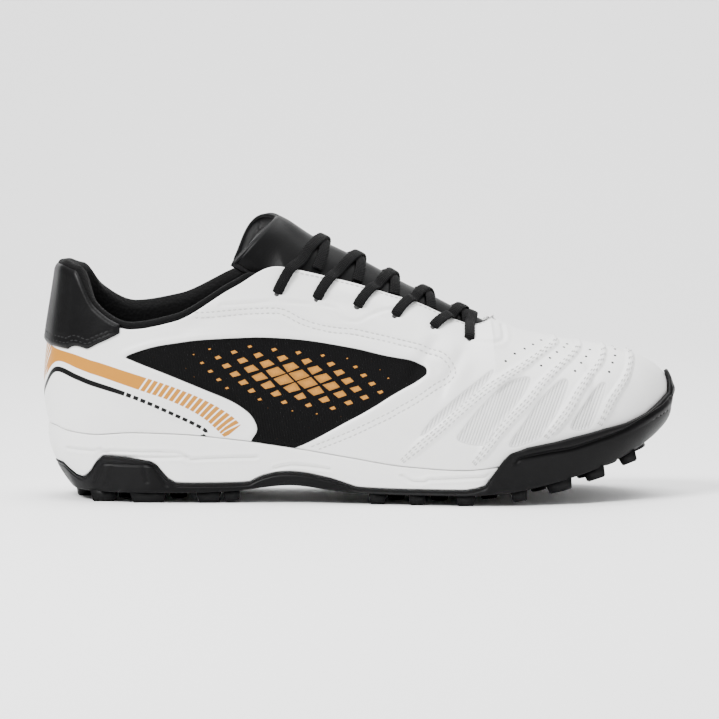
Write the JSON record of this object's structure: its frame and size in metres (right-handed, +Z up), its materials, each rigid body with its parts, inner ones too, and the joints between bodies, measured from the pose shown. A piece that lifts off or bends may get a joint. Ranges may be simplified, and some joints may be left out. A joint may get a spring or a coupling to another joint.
{
  "type": "turf shoe",
  "caption": "Low laced turf shoe for the right foot: hollow upper with side window and padded collar, foam midsole and studded rubber outsole with a toe bumper.",
  "frame": {"origin": "on the floor, below the middle of the shoe's box", "axes": "+X from heel to toe, +Y to the inner side of the foot, +Z up"},
  "size_m": [0.2795, 0.1, 0.1241],
  "materials": {
    "black_rubber": "matte",
    "white_foam": "satin",
    "white_leather": "satin",
    "insole_cloth": "matte",
    "tongue_cloth": "satin",
    "collar_cloth": "matte",
    "heel_leather": "satin",
    "lace": "matte"
  },
  "bodies": {
    "root": {"outsole": "black_rubber", "midsole": "white_foam", "upper": "white_leather", "insole": "insole_cloth", "tongue": "tongue_cloth", "collar": "collar_cloth", "heel_patch": "heel_leather", "lace_bar": "lace", "lace_cross_1": "lace", "lace_cross_2": "lace", "lace_cross_3": "lace", "lace_cross_4": "lace", "lace_cross_5": "lace"}
  },
  "joints": []
}
